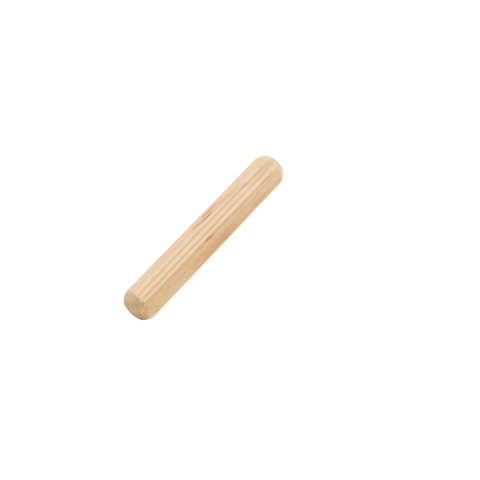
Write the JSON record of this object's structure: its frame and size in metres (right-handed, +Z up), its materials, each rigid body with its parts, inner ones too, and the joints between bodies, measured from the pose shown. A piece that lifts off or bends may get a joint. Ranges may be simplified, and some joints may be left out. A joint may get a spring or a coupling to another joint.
{
  "type": "wooden dowel pin",
  "caption": "Round wooden joinery pin with chamfered flat ends and two opposite bands of pressed lengthwise flutes between smooth sides.",
  "frame": {"origin": "centre of the flat end that the pin stands on", "axes": "+Z up along the pin; +X out through the middle of one band of flutes, with the other band on the -X side and the smooth sides on +Y and -Y"},
  "size_m": [0.01, 0.01, 0.06],
  "materials": {
    "wood": "matte"
  },
  "bodies": {
    "root": {"dowel_pin": "wood"}
  },
  "joints": []
}
